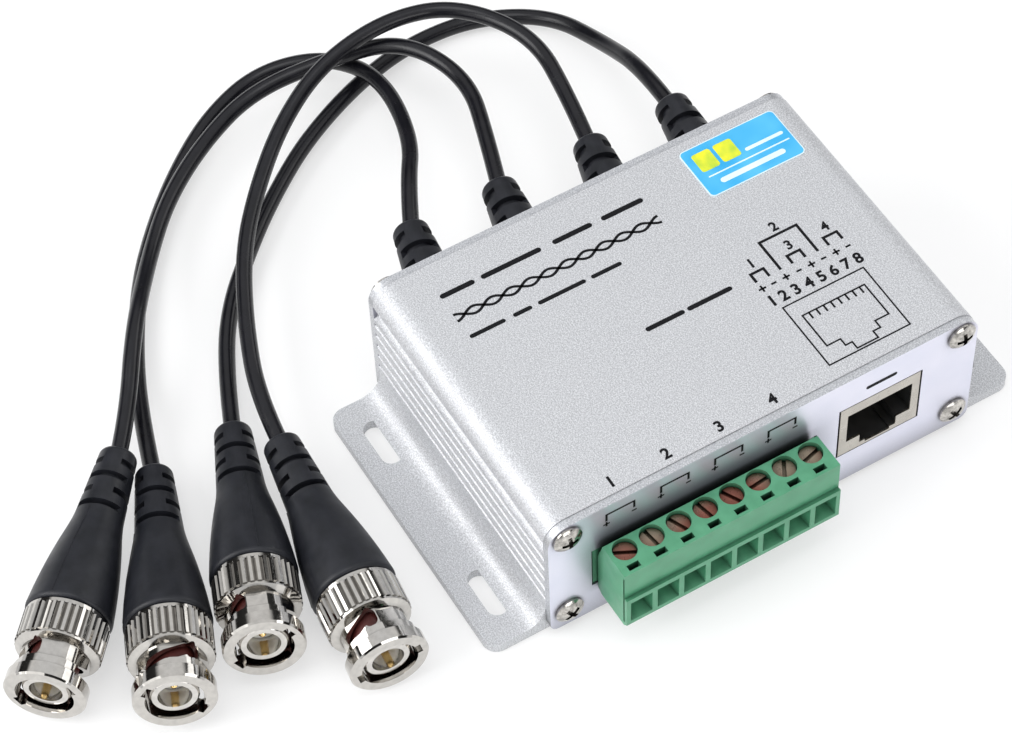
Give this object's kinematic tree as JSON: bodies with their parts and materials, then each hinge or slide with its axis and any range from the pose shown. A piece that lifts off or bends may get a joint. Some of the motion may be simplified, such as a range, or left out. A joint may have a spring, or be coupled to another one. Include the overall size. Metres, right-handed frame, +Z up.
{
  "type": "cctv video balun",
  "caption": "Aluminium box that carries camera video over network cable: coaxial leads with bayonet plugs on one side, a network socket and a screw terminal block on the other.",
  "frame": {"origin": "midway between the four fixing slots, on the plane that the case stands on", "axes": "+Z up out of the base, +X towards the network socket and terminal block, Y along the case from the terminal block to the network socket; the leads leave the case towards -X"},
  "size_m": [0.1424, 0.1763, 0.0297],
  "materials": {
    "case_aluminium": "fine blasted",
    "plate_aluminium": "brushed and clear anodised",
    "screw_nickel": "bright nickel",
    "board_laminate": "solder mask",
    "transformer_ferrite": "matt",
    "tail_copper": "tinned copper",
    "jack_metal": "satin nickel",
    "jack_plastic": "matt black",
    "contact_gold": "gold plated",
    "terminal_green": "satin green",
    "pin_tin": "bright tin",
    "cage_metal": "nickel plated",
    "clamp_screw_metal": "satin plated",
    "leaf_bronze": "tin plated bronze",
    "label_film": "satin film",
    "sleeve_rubber": "satin black",
    "cord_jacket": "satin black",
    "ring_nickel": "bright nickel",
    "body_nickel": "bright nickel",
    "seal_red": "matt",
    "washer_steel": "spring steel",
    "insulator_white": "milky white",
    "pin_gold": "gold plated"
  },
  "bodies": {
    "root": {"housing": "case_aluminium", "front_plate": "plate_aluminium", "rear_plate": "plate_aluminium", "front_plate_screws": "screw_nickel", "rear_plate_screws": "screw_nickel", "circuit_board": "board_laminate", "balun_transformers": "transformer_ferrite", "lead_tails": "tail_copper", "network_jack_shell": "jack_metal", "network_jack_insert": "jack_plastic", "network_jack_contacts": "contact_gold", "terminal_header": "terminal_green", "header_pins": "pin_tin", "label_sticker": "label_film", "case_sleeve_1": "sleeve_rubber", "cord_1": "cord_jacket", "plug_body_1": "body_nickel", "plug_seal_1": "seal_red", "spring_washer_1": "washer_steel", "plug_insulator_1": "insulator_white", "plug_pin_1": "pin_gold", "plug_sleeve_1": "sleeve_rubber", "case_sleeve_2": "sleeve_rubber", "cord_2": "cord_jacket", "plug_body_2": "body_nickel", "plug_seal_2": "seal_red", "spring_washer_2": "washer_steel", "plug_insulator_2": "insulator_white", "plug_pin_2": "pin_gold", "plug_sleeve_2": "sleeve_rubber", "case_sleeve_3": "sleeve_rubber", "cord_3": "cord_jacket", "plug_body_3": "body_nickel", "plug_seal_3": "seal_red", "spring_washer_3": "washer_steel", "plug_insulator_3": "insulator_white", "plug_pin_3": "pin_gold", "plug_sleeve_3": "sleeve_rubber", "case_sleeve_4": "sleeve_rubber", "cord_4": "cord_jacket", "plug_body_4": "body_nickel", "plug_seal_4": "seal_red", "spring_washer_4": "washer_steel", "plug_insulator_4": "insulator_white", "plug_pin_4": "pin_gold", "plug_sleeve_4": "sleeve_rubber"},
    "terminal_plug": {"terminal_plug": "terminal_green", "clamp_cages": "cage_metal", "clamp_screws": "clamp_screw_metal", "socket_contacts": "leaf_bronze"},
    "ring_1": {"coupling_ring_1": "ring_nickel"},
    "ring_2": {"coupling_ring_2": "ring_nickel"},
    "ring_3": {"coupling_ring_3": "ring_nickel"},
    "ring_4": {"coupling_ring_4": "ring_nickel"}
  },
  "joints": [
    {"name": "ring_1_turn", "type": "hinge", "parent": "root", "child": "ring_1", "pos_m": [0.01317, -0.10174, 0.00906], "axis": [0.9215, -0.3742, 0.1037], "continuous": true},
    {"name": "ring_2_turn", "type": "hinge", "parent": "root", "child": "ring_2", "pos_m": [0.00059, -0.11915, 0.00779], "axis": [0.7557, -0.6546, 0.0192], "continuous": true},
    {"name": "ring_3_turn", "type": "hinge", "parent": "root", "child": "ring_3", "pos_m": [0.02447, -0.0687, 0.00767], "axis": [0.9933, -0.1149, 0.0105], "continuous": true},
    {"name": "ring_4_turn", "type": "hinge", "parent": "root", "child": "ring_4", "pos_m": [0.01232, -0.08503, 0.00942], "axis": [0.9275, -0.3523, 0.1253], "continuous": true},
    {"name": "terminal_plug_pull", "type": "slide", "parent": "root", "child": "terminal_plug", "axis": [1, 0, 0], "range_m": [0, 0.008]}
  ]
}
